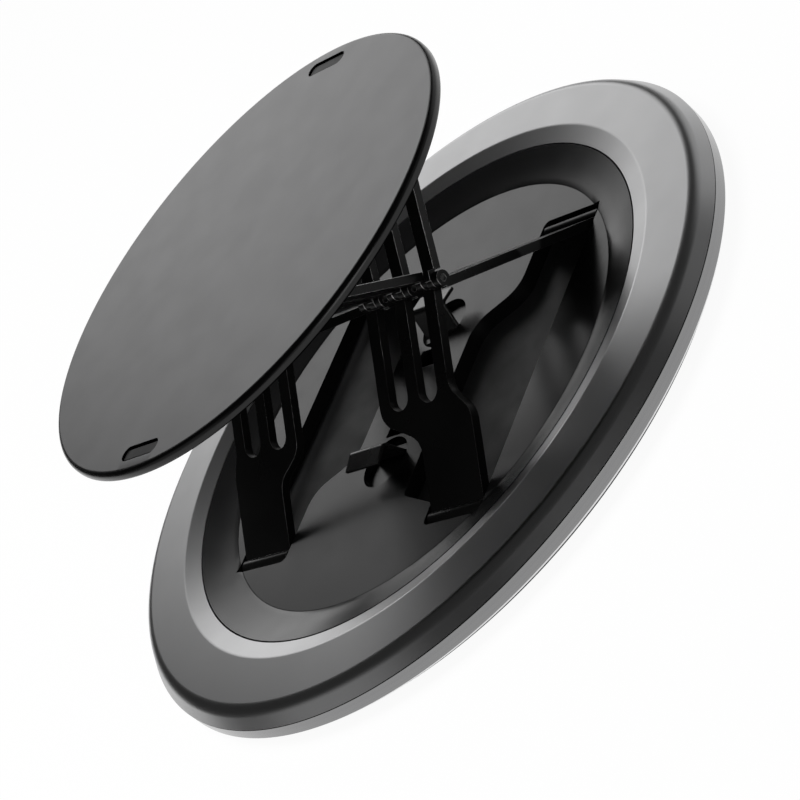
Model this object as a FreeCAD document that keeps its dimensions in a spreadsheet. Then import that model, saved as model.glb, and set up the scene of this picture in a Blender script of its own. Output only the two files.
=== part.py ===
"""Round phone grip: a flat magnetic base with a disc that rises on four folding arms.

Millimetres. Z is up, the base's underside is at zero, X runs along the arms and Y along the hinges.
The model stands open, with the disc raised.
"""
import FreeCAD, Part
import os
import re

import Sketcher

# Driving dimensions, in millimetres and degrees
SIZES = {
    # Base stack and rings
    "base_radius": 29.2,
    "plate_inset": 0.9,
    "plate_thickness": 0.5,
    "pad_inset": 0.7,
    "pad_thickness": 0.5,
    "band_wall": 1.3,
    "band_height": 1.31,
    "band_chamfer": 0.28,
    "parting_chamfer": 0.1,
    "shell_height": 1.31,
    "shell_wall": 1.3,
    "roof_thickness": 0.67,
    "rim_run": 2.2,
    "rim_bow": 0.22,
    "lip_run": 1.6,
    "lip_drop": 0.4,
    "lip_bow": 0.1,
    "skirt_wall": 0.5,
    "dish_radius": 22.4,
    "dish_gap": 0.1,
    "dish_depth": 0.95,
    "wall_run": 3.1,
    "wall_bow": 0.06,
    "wall_seat_depth": 0.2,
    "wall_seat_gap": 0.03,
    # Magnets
    "magnet_count": 18,
    "magnet_gap_angle": 1.2,
    "magnet_clearance": 0.2,
    "shunt_thickness": 0.5,
    # Channels and recesses of the floor
    "channel_clearance": 0.2,
    "channel_shoulder": 2.6,
    "channel_wide_slope": 1.4,
    "channel_corner": 0.55,
    "channel_sweep": 2.4,
    "recess_offset": 6.5,
    "recess_radius": 2.25,
    "recess_depth": 0.5,
    "window_length": 2.6,
    "window_width": 1.7,
    "window_offset": 3.2,
    # Arms
    "hinge_offset": 13.0,
    "arm_length": 16.4,
    "arm_angle": 36.5,
    "arm_sheet": 0.7,
    "tab_inner": 8.35,
    "tab_width": 5.65,
    "neck_start": 5.7,
    "neck_end": 7.6,
    "shoulder_start": 6.9,
    "shoulder_end": 8.7,
    "neck_round": 1.7,
    "slot_start": 8.15,
    "tine_width": 1.2,
    "tine_pitch": 3.25,
    "tine_first_outer": 6.35,
    "tine_first_inner": 5.0,
    "knuckle_radius": 0.6,
    "leaf_gap": 0.05,
    "lap_gap": 0.06,
    "floor_pin_radius": 0.3,
    "floor_pin_seat": 0.5,
    "elbow_pin_radius": 0.25,
    "hinge_clearance": 0.03,
    "seat_clearance": 0.01,
    # Links
    "link_sheet": 0.65,
    "link_cross": 3.06,
    "link_neck": 0.86,
    "link_clearance": 0.5,
    "top_knuckle_radius": 0.42,
    "top_pin_radius": 0.2,
    "finger_clearance": 0.06,
    "loose_pivot_play": 0.2,
    # Raised disc and its hinge carrier
    "disc_radius": 19.64,
    "disc_thickness": 0.85,
    "disc_edge_chamfer": 0.22,
    "slot_offset": 17.9,
    "slot_length": 4.2,
    "slot_width": 1.25,
    "carrier_sheet": 0.4,
    "carrier_width": 3.6,
    "cross_width": 2.0,
    "lip_clearance": 0.2,
    "lip_sink": 0.12,
    # Pop-up leaf springs
    "leaf_sheet": 0.3,
    "leaf_width": 1.9,
    "leaf_rise": 2.0,
    "leaf_set_in": 1.6,
    "leaf_foot": 1.4,
    "leaf_lean": 1.1,
    "leaf_hook": 0.9,
}

# Places and fits that follow from the driving dimensions
FITS = {
    "plate_radius": "base_radius - plate_inset",
    "pad_radius": "plate_radius - pad_inset",
    "plate_top": "pad_thickness + plate_thickness",
    "parting": "plate_top + band_height",
    "top_level": "parting + shell_height",
    "ring_line": "top_level - lip_drop",
    "flat_inner_radius": "dish_radius + lip_run",
    "flat_outer_radius": "base_radius - rim_run",
    "floor_radius": "dish_radius - wall_run",
    "floor_level": "ring_line - dish_depth",
    "wall_seat": "floor_level - wall_seat_depth",
    "wall_inner_radius": "floor_radius + wall_seat_gap",
    "roof_level": "top_level - roof_thickness",
    "skirt_inner": "dish_radius + dish_gap",
    "magnet_inner_radius": "skirt_inner + skirt_wall + magnet_clearance",
    "magnet_outer_radius": "base_radius - band_wall - magnet_clearance",
    "magnet_top": "roof_level - shunt_thickness",
    "hinge_height": "plate_top + leaf_gap + knuckle_radius",
    "elbow_rise": "arm_sheet - knuckle_radius + leaf_gap / 2",
    "elbow_height_closed": "hinge_height + elbow_rise",
    "elbow_x_closed": "arm_length - hinge_offset",
    "arm_cos": "cos(arm_angle * 1deg)",
    "arm_sin": "sin(arm_angle * 1deg)",
    "elbow_x_open": "arm_length * arm_cos - elbow_rise * arm_sin - hinge_offset",
    "elbow_height_open": "hinge_height + arm_length * arm_sin + elbow_rise * arm_cos",
    "disc_under_closed": "top_level - disc_thickness",
    "top_hinge_drop": "top_knuckle_radius + leaf_gap",
    "top_hinge_x": "-(elbow_x_closed + knuckle_radius + link_cross)",
    "link_reach": "elbow_x_closed - top_hinge_x",
    "link_rise_closed": "disc_under_closed - top_hinge_drop - elbow_height_closed",
    "link_length": "sqrt(link_reach * link_reach + link_rise_closed * link_rise_closed)",
    "link_run_open": "elbow_x_open - top_hinge_x",
    "link_rise_open": "sqrt(link_length * link_length - link_run_open * link_run_open)",
    "link_tilt_open": "asin(link_rise_open / link_length) / 1deg",
    "link_tilt_closed": "asin(link_rise_closed / link_length) / 1deg",
    "link_angle": "link_tilt_open - link_tilt_closed",
    "link_slot_end": "2 * elbow_x_closed + knuckle_radius + link_clearance",
    "link_neck_end": "link_reach - link_neck",
    "top_hinge_height": "elbow_height_open + link_rise_open",
    "disc_under": "top_hinge_height + top_hinge_drop",
    "tab_outer": "tab_inner + tab_width",
    "channel_outer": "tab_outer + channel_clearance",
    "channel_tab_inner": "tab_inner - channel_clearance",
    "channel_inner": "tine_first_inner - tine_width / 2 - channel_clearance",
    "channel_end": "hinge_offset + knuckle_radius + channel_clearance",
    "channel_step_far": "hinge_offset - neck_start + channel_clearance",
    "channel_step_near": "hinge_offset - neck_end - channel_clearance",
    "channel_wide_end": "hinge_offset - channel_shoulder",
    "channel_narrow_end": "channel_wide_end + channel_wide_slope",
    "channel_bend": "min(channel_corner; (channel_end - channel_narrow_end) * 0.5)",
    "pin_reach": "channel_outer + floor_pin_seat",
    "lap_cut": "knuckle_radius + leaf_gap * 2",
    "tine_gap": "tine_pitch - tine_width",
    "slot_round": "tine_gap * 0.47",
    "finger_notch": "top_knuckle_radius + leaf_gap * 2 + loose_pivot_play",
    "cross_near": "top_knuckle_radius + leaf_gap * 4 - top_hinge_x",
    "cross_far": "cross_near + cross_width",
    "cross_reach": "tine_first_outer + 2 * tine_pitch + tine_width / 2",
    "lip_width": "slot_width - 2 * lip_clearance",
    "carrier_end": "slot_offset + lip_width / 2",
    "hinge_below_carrier": "top_hinge_drop - carrier_sheet",
    "recess_floor": "floor_level - recess_depth",
    "lip_length": "slot_length - 2 * lip_clearance",
    "lip_top": "carrier_sheet + disc_thickness - lip_sink",
    "leaf_height": "recess_depth + leaf_rise",
}

doc = FreeCAD.newDocument("phone_grip")


def make_sheet():
    """Put every driving dimension in the sheet, under its own alias."""
    sheet = doc.addObject("Spreadsheet::Sheet", "Sizes")
    for row, (name, size) in enumerate(SIZES.items(), start=1):
        sheet.set(f"A{row}", name)
        sheet.set(f"B{row}", str(size))
        sheet.setAlias(f"B{row}", name)
    doc.recompute()
    return sheet


def bound(text):
    """Expression in which each name points at its sheet or fit cell."""
    def lead(match):
        word = match.group(0)
        if word in SIZES:
            return "Sizes." + word
        if word in FITS:
            return "Fits." + word
        return word
    return re.sub(r"[a-z_]+", lead, text)


def make_fits():
    """Keep the derived places in a variable set that follows the sheet."""
    holder = doc.addObject("App::VarSet", "Fits")
    for name, text in FITS.items():
        holder.addProperty("App::PropertyFloat", name)
        holder.setExpression(name, bound(text))
        doc.recompute()
    return holder


sheet = make_sheet()
fits = make_fits()


def number(text):
    """Present value of an expression on the named sizes."""
    result = sheet.evalExpression(bound(str(text)))
    return float(getattr(result, "Value", result))


def bind(item, **expressions):
    """Tie properties of an object to the named sizes."""
    for name, text in expressions.items():
        item.setExpression(name, bound(text))


def place(item, x="0", y="0", z="0", axis=(0, 0, 1), angle="0"):
    """Placement of an object, tied to the named sizes."""
    turn = FreeCAD.Rotation(FreeCAD.Vector(*axis), number(angle))
    item.Placement = FreeCAD.Placement(FreeCAD.Vector(number(x), number(y), number(z)), turn)
    for part, text in (("Base.x", x), ("Base.y", y), ("Base.z", z), ("Rotation.Angle", angle)):
        if not re.fullmatch(r"[0-9.]+", text):
            item.setExpression("Placement." + part, bound(text))


def new_body(label):
    """Empty body that becomes one sub-part."""
    body = doc.addObject("PartDesign::Body", label)
    body.Label = label
    return body


def plane_of(body, role):
    """One of the body's own origin planes."""
    return next(item for item in body.Origin.OriginFeatures if item.Role == role)


def edge_between(start, end, bow):
    """Straight edge, or an arc that bulges to the left of its way by the given bow."""
    if not bow:
        return Part.LineSegment(start, end)
    along = end - start
    left = FreeCAD.Vector(-along.y, along.x, 0).normalize()
    return Part.Arc(start, (start + end) * 0.5 + left * bow, end)


def outline(body, name, plane, points, level="0"):
    """Closed sketch whose corners are tied to the named sizes; a third text bows the edge that follows."""
    sketch = body.newObject("Sketcher::SketchObject", name)
    sketch.AttachmentSupport = [(plane_of(body, plane), "")]
    sketch.MapMode = "FlatFace"
    sketch.setExpression("AttachmentOffset.Base.z", bound(level))
    corners = [FreeCAD.Vector(number(x), number(y), 0) for x, y, *bow in points]
    bows = [bow[0] if bow else None for x, y, *bow in points]
    ends = []
    for index, bow in enumerate(bows):
        after = (index + 1) % len(corners)
        edge = edge_between(corners[index], corners[after], number(bow) if bow else 0)
        sketch.addGeometry(edge, False)
        forward = (sketch.getPoint(index, 1) - corners[index]).Length < 1e-6
        ends.append((1, 2) if forward else (2, 1))
    for index in range(len(corners)):
        after = (index + 1) % len(corners)
        joint = ("Coincident", index, ends[index][1], after, ends[after][0])
        sketch.addConstraint(Sketcher.Constraint(*joint))
    for index, corner in enumerate(corners):
        for kind, at, text in zip(("DistanceX", "DistanceY"), corner, points[index]):
            row = sketch.addConstraint(Sketcher.Constraint(kind, -1, 1, index, ends[index][0], at))
            sketch.setExpression(f"Constraints[{row}]", bound(text))
    for index, bow in enumerate(bows):
        if bow:
            here = points[index]
            after = points[(index + 1) % len(points)]
            across = f"(({after[0]}) - ({here[0]}))"
            up = f"(({after[1]}) - ({here[1]}))"
            radius = f"({across} * {across} + {up} * {up}) / (8 * ({bow})) + ({bow}) / 2"
            row = sketch.addConstraint(Sketcher.Constraint("Radius", index, number(radius)))
            sketch.setExpression(f"Constraints[{row}]", bound(radius))
    return sketch


def circle(body, name, plane, x, y, radius, level="0"):
    """Sketch of one circle, its place and radius tied to the named sizes."""
    sketch = body.newObject("Sketcher::SketchObject", name)
    sketch.AttachmentSupport = [(plane_of(body, plane), "")]
    sketch.MapMode = "FlatFace"
    sketch.setExpression("AttachmentOffset.Base.z", bound(level))
    centre = FreeCAD.Vector(number(x), number(y), 0)
    sketch.addGeometry(Part.Circle(centre, FreeCAD.Vector(0, 0, 1), number(radius)), False)
    for kind, at, text in (("DistanceX", centre.x, x), ("DistanceY", centre.y, y)):
        row = sketch.addConstraint(Sketcher.Constraint(kind, -1, 1, 0, 3, at))
        sketch.setExpression(f"Constraints[{row}]", bound(text))
    row = sketch.addConstraint(Sketcher.Constraint("Radius", 0, number(radius)))
    sketch.setExpression(f"Constraints[{row}]", bound(radius))
    return sketch


def revolved(label, points):
    """Body turned about Z from a half section of radius and height pairs."""
    body = new_body(label)
    sketch = outline(body, label + "_section", "XZ_Plane", points)
    turned = body.newObject("PartDesign::Revolution", label + "_turn")
    turned.Profile = sketch
    turned.ReferenceAxis = (sketch, ["V_Axis"])
    turned.Angle = 360
    doc.recompute()
    return body


def pad(body, sketch, length, both_ways=False):
    """Solid raised from a sketch."""
    raised = body.newObject("PartDesign::Pad", sketch.Name + "_pad")
    raised.Profile = sketch
    raised.Midplane = both_ways
    bind(raised, Length=length)
    doc.recompute()
    return raised


def pocket(body, sketch, length, both_ways=False):
    """Cut from a sketch, upwards from an origin plane, and checked to remove material."""
    before = body.Shape.Volume
    cut = body.newObject("PartDesign::Pocket", sketch.Name + "_cut")
    cut.Profile = sketch
    cut.Midplane = both_ways
    cut.Reversed = not both_ways
    bind(cut, Length=length)
    doc.recompute()
    if body.Shape.Volume >= before:
        raise RuntimeError(sketch.Name + " cuts nothing")
    return cut


def upright_edges(body, corners):
    """Names of the vertical edges that stand over the given corners."""
    places = [(number(x), number(y)) for x, y in corners]
    names = []
    for index, edge in enumerate(body.Shape.Edges, start=1):
        ends = [vertex.Point for vertex in edge.Vertexes]
        if len(ends) < 2 or abs(ends[0].z - ends[1].z) < 1e-6:
            continue
        if (ends[0] - ends[1]).cross(FreeCAD.Vector(0, 0, 1)).Length > 1e-6:
            continue
        if any(abs(ends[0].x - x) < 1e-4 and abs(ends[0].y - y) < 1e-4 for x, y in places):
            names.append(f"Edge{index}")
    return names


def ring_edges(body, circles):
    """Names of the round edges with the given radius and height pairs."""
    wanted = [(number(radius), number(z)) for radius, z in circles]
    names = []
    for index, edge in enumerate(body.Shape.Edges, start=1):
        curve = edge.Curve
        if not isinstance(curve, Part.Circle):
            continue
        if any(abs(curve.Radius - r) < 1e-4 and abs(curve.Center.z - z) < 1e-4 for r, z in wanted):
            names.append(f"Edge{index}")
    return names


def rounded(body, name, edges, radius):
    """Fillet on named edges of the body's last feature."""
    return dressed(body, "Fillet", name, edges, Radius=radius)


def bevelled(body, name, edges, size):
    """Chamfer on named edges of the body's last feature."""
    return dressed(body, "Chamfer", name, edges, Size=size)


def dressed(body, kind, name, edges, **size):
    if not edges:
        raise RuntimeError(name + " finds no edge")
    last = body.Tip
    made = body.newObject("PartDesign::" + kind, name)
    made.Base = (last, edges)
    bind(made, **size)
    doc.recompute()
    return made


def tie_sign(sign, text):
    """Expression, or its negative."""
    return text if sign > 0 else f"-({text})"


def along_y(body, kind, name, radius, sign, low, high, x="0", z="0"):
    """Cylinder along Y between two distances from the middle plane, on the side of the sign."""
    made = body.newObject("PartDesign::" + kind + "Cylinder", name)
    length = f"({high}) - ({low})"
    bind(made, Radius=radius, Height=length)
    far = high if sign > 0 else f"-({low})"
    place(made, x, far, z, (1, 0, 0), "90")
    return made


def block(body, kind, name, x, y, z, length, width, height):
    """Additive or subtractive box from its lowest corner."""
    made = body.newObject("PartDesign::" + kind + "Box", name)
    bind(made, Length=length, Width=width, Height=height)
    place(made, x, y, z)
    return made


# Base

def make_grip_pad():
    return revolved("grip_pad", [
        ("0", "0"), ("pad_radius - pad_thickness / 2", "0"), ("pad_radius", "pad_thickness / 2"),
        ("pad_radius", "pad_thickness"), ("0", "pad_thickness")])


def make_bottom_plate():
    return revolved("bottom_plate", [
        ("0", "pad_thickness"), ("plate_radius", "pad_thickness"),
        ("plate_radius", "plate_top"), ("0", "plate_top")])


def make_base_band():
    inner = "base_radius - band_wall"
    return revolved("base_band", [
        (inner, "plate_top"), ("base_radius - band_chamfer", "plate_top"),
        ("base_radius", "plate_top + band_chamfer"), ("base_radius", "parting - parting_chamfer"),
        ("base_radius - parting_chamfer", "parting"), (inner, "parting")])


def make_base_shell():
    """Ring with a flat top, a bowed slope outside, a soft lip inside and a hollow for the magnets."""
    outer_wall = "base_radius - shell_wall"
    skirt_outer = "skirt_inner + skirt_wall"
    return revolved("base_shell", [
        (outer_wall, "roof_level"), (skirt_outer, "roof_level"), (skirt_outer, "plate_top"),
        ("skirt_inner", "plate_top"), ("skirt_inner", "ring_line", "lip_bow"),
        ("flat_inner_radius", "top_level"), ("flat_outer_radius", "top_level", "rim_bow"),
        ("base_radius", "parting + parting_chamfer"), ("base_radius - parting_chamfer", "parting"),
        (outer_wall, "parting")])


def channel_corners(turn):
    """Corners of one floor channel: it is wide under the fork and narrow at the outer arm's tab."""
    corners = [
        ("-channel_end", "-channel_outer"), ("channel_end", "-channel_outer"),
        ("channel_end", "-channel_tab_inner"), ("channel_step_far", "-channel_tab_inner"),
        ("channel_step_near", "-channel_inner"), ("-channel_wide_end", "-channel_inner"),
        ("-channel_narrow_end", "-channel_tab_inner"),
        ("-channel_end", "-channel_tab_inner")]
    return [(tie_sign(turn, x), tie_sign(turn, y)) for x, y in corners]


def make_dish():
    """Floor with a seat for the wall, two channels, two spring recesses with windows and the pin holes."""
    body = revolved("dish", [
        ("0", "plate_top"), ("dish_radius", "plate_top"), ("dish_radius", "wall_seat"),
        ("floor_radius", "wall_seat"), ("floor_radius", "floor_level"), ("0", "floor_level")])
    for turn, end in ((1, "right"), (-1, "left")):
        corners = channel_corners(turn)
        pocket(body, outline(body, "channel_" + end, "XY_Plane", corners), "top_level")
        rounded(body, "channel_sweep_" + end, upright_edges(body, corners[3:5]), "channel_sweep")
        bends = corners[:3] + corners[5:]
        rounded(body, "channel_bends_" + end, upright_edges(body, bends), "channel_bend")
    for turn, end in ((1, "rear"), (-1, "front")):
        x = tie_sign(turn, "recess_offset")
        recess = circle(body, "recess_" + end, "XY_Plane", x, "0", "recess_radius", "recess_floor")
        pocket(body, recess, "top_level")
        low = f"{tie_sign(turn, 'window_offset')} - window_width / 2"
        block(body, "Subtractive", "window_" + end, low, "-window_length / 2", "0",
              "window_width", "window_length", "top_level")
        along_y(body, "Subtractive", "pin_hole_" + end, "floor_pin_radius + seat_clearance", 1,
                "-pin_reach", "pin_reach", tie_sign(turn, "hinge_offset"), "hinge_height")
    return body


def make_dish_wall():
    """Ring on the floor's seat with a concave face, notched where the channels' corners run under it."""
    body = revolved("dish_wall", [
        ("wall_inner_radius", "wall_seat"), ("dish_radius", "wall_seat"),
        ("dish_radius", "ring_line", "wall_bow"), ("wall_inner_radius", "floor_level")])
    reach = number("sqrt(channel_end * channel_end + channel_outer * channel_outer) - wall_inner_radius")
    for turn, end in ((1, "right"), (-1, "left")) if reach > 0 else ():
        corners = channel_corners(turn)[:2] + [
            (tie_sign(turn, "channel_end"), "0"), (tie_sign(turn, "-channel_end"), "0")]
        pocket(body, outline(body, "wall_notch_" + end, "XY_Plane", corners), "top_level")
        if reach > number("channel_bend"):
            rounded(body, "notch_bends_" + end, upright_edges(body, corners[:2]), "channel_bend")
    return body


def make_magnet_ring():
    """Arc magnets side by side under the shell's roof."""
    count = int(number("magnet_count"))
    sectors = []
    for index in range(count):
        sector = doc.addObject("Part::Cylinder", f"magnet_{index}")
        bind(sector, Radius="magnet_outer_radius", Height="magnet_top - plate_top",
             Angle="360 / magnet_count - magnet_gap_angle")
        place(sector, z="plate_top", angle=f"{index} * 360 / magnet_count")
        sectors.append(sector)
    group = doc.addObject("Part::Compound", "magnet_sectors")
    group.Links = sectors
    middle = doc.addObject("Part::Cylinder", "magnet_middle")
    bind(middle, Radius="magnet_inner_radius", Height="top_level")
    ring = doc.addObject("Part::Cut", "magnet_ring")
    ring.Base = group
    ring.Tool = middle
    return ring


def make_shunt_ring():
    return revolved("shunt_ring", [
        ("magnet_inner_radius", "magnet_top"), ("magnet_outer_radius", "magnet_top"),
        ("magnet_outer_radius", "roof_level"), ("magnet_inner_radius", "roof_level")])


def make_floor_pin(label, turn):
    pin = doc.addObject("Part::Cylinder", label)
    bind(pin, Radius="floor_pin_radius", Height="2 * pin_reach")
    place(pin, tie_sign(-turn, "hinge_offset"), "pin_reach", "hinge_height", (1, 0, 0), "90")
    return pin


def make_pop_spring(label, turn):
    """Bent leaf: a flat foot in the recess, a leaning riser and a short level tip."""
    body = new_body(label)
    top = "leaf_height - leaf_sheet"
    lean_x = "leaf_foot + leaf_lean"
    profile = [
        ("0", "0"), ("leaf_foot", "0"), (lean_x, top), (lean_x + " + leaf_hook", top),
        (lean_x + " + leaf_hook", "leaf_height"), (lean_x + " - leaf_sheet", "leaf_height"),
        ("leaf_foot - leaf_sheet", "leaf_sheet"), ("0", "leaf_sheet")]
    profile = [(tie_sign(-turn, x), z) for x, z in profile]
    pad(body, outline(body, label + "_profile", "XZ_Plane", profile), "leaf_width", both_ways=True)
    place(body, tie_sign(-turn, "recess_offset - leaf_set_in"), "0", "recess_floor")
    return body


# Arms and links

OUTER = {"first": "tine_first_outer", "side": 1}
INNER = {"first": "tine_first_inner", "side": -1}
TINES = range(3)


def tine_centre(kind, index):
    return f"{kind['first']} + {index} * tine_pitch"


def fork_inner(kind):
    return f"{kind['first']} - tine_width / 2"


def fork_outer(kind):
    return f"{tine_centre(kind, 2)} + tine_width / 2"


def make_arm(label, kind, turn):
    """Sheet arm: rolled end, tab, stepped neck and a fork of three tines with half-lapped knuckles."""
    side = turn * kind["side"]
    body = new_body(label)
    corners = [("0", "tab_inner"), ("neck_start", "tab_inner"), ("neck_end", fork_inner(kind))]
    slots = []
    for index in TINES:
        centre = tine_centre(kind, index)
        corners += [
            ("arm_length - lap_cut", f"{centre} - tine_width / 2"),
            ("arm_length - lap_cut", f"{centre} + lap_gap / 2"),
            ("arm_length", f"{centre} + lap_gap / 2"), ("arm_length", f"{centre} + tine_width / 2")]
        if index != TINES[-1]:
            slot = [("slot_start", f"{centre} + tine_width / 2"),
                    ("slot_start", f"{tine_centre(kind, index + 1)} - tine_width / 2")]
            corners += slot
            slots += slot
    shoulder = [("shoulder_end", fork_outer(kind)), ("shoulder_start", "tab_outer")]
    corners += shoulder + [("0", "tab_outer")]
    signed = [(tie_sign(turn, u), tie_sign(side, v)) for u, v in corners]
    sketch = outline(body, label + "_plan", "XY_Plane", signed, "-knuckle_radius")
    pad(body, sketch, "arm_sheet")
    slot_ends = [(tie_sign(turn, u), tie_sign(side, v)) for u, v in slots]
    rounded(body, label + "_slot_ends", upright_edges(body, slot_ends), "slot_round")
    bends = signed[1:3] + signed[-3:-1]
    rounded(body, label + "_neck", upright_edges(body, bends), "neck_round")
    along_y(body, "Additive", label + "_roll", "knuckle_radius", side, "tab_inner", "tab_outer")
    elbow = tie_sign(turn, "arm_length")
    for index in TINES:
        centre = tine_centre(kind, index)
        along_y(body, "Additive", f"{label}_knuckle_{index}", "knuckle_radius", side,
                f"{centre} + lap_gap / 2", f"{centre} + tine_width / 2", elbow, "elbow_rise")
    along_y(body, "Subtractive", label + "_floor_bore", "floor_pin_radius + hinge_clearance", side,
            "tab_inner", "tab_outer")
    along_y(body, "Subtractive", label + "_elbow_bore", "elbow_pin_radius + seat_clearance", side,
            fork_inner(kind), fork_outer(kind), elbow, "elbow_rise")
    place(body, tie_sign(-turn, "hinge_offset"), "0", "hinge_height", (0, -turn, 0), "arm_angle")
    return body


def hinge_band(kind):
    """Inner and outer edge of a link's end at the disc, and the width of one of its five hinge steps."""
    inner = "tab_inner" if kind is OUTER else fork_inner(kind)
    outer = fork_outer(kind)
    return inner, outer, f"(({outer}) - ({inner})) / 5"


def make_link(label, kind, turn):
    """Upper link: three half-lapped tines, a cross piece and three knuckles at the disc."""
    side = turn * kind["side"]
    body = new_body(label)
    inner, outer, step = hinge_band(kind)
    corners = [("link_reach", inner), ("link_neck_end", inner), ("link_slot_end", fork_inner(kind))]
    slots = []
    for index in TINES:
        centre = tine_centre(kind, index)
        corners += [
            ("0", f"{centre} - tine_width / 2"), ("0", f"{centre} - lap_gap / 2"),
            ("lap_cut", f"{centre} - lap_gap / 2"), ("lap_cut", f"{centre} + tine_width / 2")]
        if index != TINES[-1]:
            slot = [("link_slot_end", f"{centre} + tine_width / 2"),
                    ("link_slot_end", f"{tine_centre(kind, index + 1)} - tine_width / 2")]
            corners += slot
            slots += slot
    corners.append(("link_reach", outer))
    for near, far in ((4, 3), (2, 1)):
        corners += [
            ("link_reach", f"{inner} + {near} * {step}"),
            ("link_reach - finger_notch", f"{inner} + {near} * {step}"),
            ("link_reach - finger_notch", f"{inner} + {far} * {step}"),
            ("link_reach", f"{inner} + {far} * {step}")]
    if kind is INNER:
        del corners[1:3]
    signed = [(tie_sign(-turn, u), tie_sign(side, v)) for u, v in corners]
    pad(body, outline(body, label + "_plan", "XY_Plane", signed, "leaf_gap / 2"), "link_sheet")
    slot_ends = [(tie_sign(-turn, u), tie_sign(side, v)) for u, v in slots]
    rounded(body, label + "_slot_ends", upright_edges(body, slot_ends), "slot_round")
    for index in TINES:
        centre = tine_centre(kind, index)
        along_y(body, "Additive", f"{label}_knuckle_{index}", "knuckle_radius", side,
                f"{centre} - tine_width / 2", f"{centre} - lap_gap / 2")
    top = tie_sign(-turn, "link_reach")
    for index in (0, 2, 4):
        along_y(body, "Additive", f"{label}_top_knuckle_{index}", "top_knuckle_radius", side,
                f"{inner} + {index} * {step}", f"{inner} + {index + 1} * {step}", top, "link_rise_closed")
    along_y(body, "Subtractive", label + "_elbow_bore", "elbow_pin_radius + hinge_clearance", side,
            fork_inner(kind), fork_outer(kind))
    along_y(body, "Subtractive", label + "_top_bore", "top_pin_radius + seat_clearance", side,
            inner, outer, top, "link_rise_closed")
    place(body, tie_sign(turn, "elbow_x_open"), "0", "elbow_height_open", (0, turn, 0), "link_angle")
    return body


def make_pins(label, radius, spans, x, z):
    """Short pins along Y as one group of separate solids."""
    pins = []
    for index, (sign, low, high) in enumerate(spans):
        pin = doc.addObject("Part::Cylinder", f"{label}_{index}")
        bind(pin, Radius=radius, Height=f"({high}) - ({low})")
        place(pin, x, high if sign > 0 else f"-({low})", z, (1, 0, 0), "90")
        pins.append(pin)
    group = doc.addObject("Part::Compound", label)
    group.Links = pins
    return group


def make_elbow_pins(label, turn):
    spans = []
    for kind in (OUTER, INNER):
        for index in TINES:
            centre = tine_centre(kind, index)
            spans.append((turn * kind["side"], f"{centre} - tine_width / 2", f"{centre} + tine_width / 2"))
    return make_pins(label, "elbow_pin_radius", spans, tie_sign(turn, "elbow_x_open"), "elbow_height_open")


def make_top_pins(label, turn):
    spans = [(turn * kind["side"], *hinge_band(kind)[:2]) for kind in (OUTER, INNER)]
    return make_pins(label, "top_pin_radius", spans, tie_sign(turn, "top_hinge_x"), "top_hinge_height")


# Raised disc

def make_hinge_carrier():
    """Sheet under the disc: a long strip with hooked ends, two cross strips and the hinge fingers."""
    body = new_body("hinge_carrier")
    half = "carrier_width / 2"
    quarter = [("carrier_end", half), ("cross_far", half), ("cross_far", "cross_reach"),
               ("cross_near", "cross_reach"), ("cross_near", half)]
    corners = list(quarter)
    corners += [(f"-({x})", y) for x, y in reversed(quarter)]
    corners += [(f"-({x})", f"-({y})") for x, y in quarter]
    corners += [(x, f"-({y})") for x, y in reversed(quarter)]
    pad(body, outline(body, "carrier_plan", "XY_Plane", corners), "carrier_sheet")
    for end in (1, -1):
        low = f"{tie_sign(end, 'slot_offset')} - lip_width / 2"
        block(body, "Additive", f"lip_{'rear' if end > 0 else 'front'}", low, "-lip_length / 2", "0",
              "lip_width", "lip_length", "lip_top")
    for turn, end in ((1, "front"), (-1, "rear")):
        hinge_x = tie_sign(turn, "top_hinge_x")
        bores = [hinge_x] if turn > 0 else [hinge_x, hinge_x + " - loose_pivot_play"]
        for kind in (OUTER, INNER):
            side = turn * kind["side"]
            inner, outer, step = hinge_band(kind)
            for index in (1, 3):
                name = f"finger_{end}_{'left' if side > 0 else 'right'}_{index}"
                low = f"{inner} + {index} * {step} + finger_clearance"
                high = f"{inner} + {index + 1} * {step} - finger_clearance"
                reach = "cross_near + cross_width / 2 + top_hinge_x"
                root_x = f"top_hinge_x - ({reach})" if turn > 0 else "-top_hinge_x - loose_pivot_play"
                root_length = reach if turn > 0 else f"{reach} + loose_pivot_play"
                block(body, "Additive", name + "_root", root_x, low if side > 0 else f"-({high})",
                      "-hinge_below_carrier", root_length, f"({high}) - ({low})", "top_hinge_drop")
                for count, x in enumerate(bores):
                    along_y(body, "Additive", f"{name}_tip_{count}", "top_knuckle_radius", side, low, high,
                            x, "-hinge_below_carrier")
                for count, x in enumerate(bores):
                    along_y(body, "Subtractive", f"{name}_bore_{count}", "top_pin_radius + hinge_clearance",
                            side, low, high, x, "-hinge_below_carrier")
    place(body, "0", "0", "disc_under - carrier_sheet")
    return body


def make_top_disc():
    """Thin disc with two obround slots for the carrier's lips."""
    body = revolved("top_disc", [
        ("0", "0"), ("disc_radius", "0"), ("disc_radius", "disc_thickness"), ("0", "disc_thickness")])
    rims = ring_edges(body, [("disc_radius", "disc_thickness"), ("disc_radius", "0")])
    bevelled(body, "disc_edge", rims, "disc_edge_chamfer")
    for end in (1, -1):
        centre = tie_sign(end, "slot_offset")
        corners = [(f"{centre} {dx} slot_width / 2", f"{dy} slot_length / 2")
                   for dx, dy in (("-", "-"), ("+", "-"), ("+", "+"), ("-", "+"))]
        name = "slot_rear" if end > 0 else "slot_front"
        pocket(body, outline(body, name, "XY_Plane", corners), "2 * disc_thickness")
        rounded(body, name + "_ends", upright_edges(body, corners), "slot_width * 0.48")
    place(body, "0", "0", "disc_under")
    return body


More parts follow.
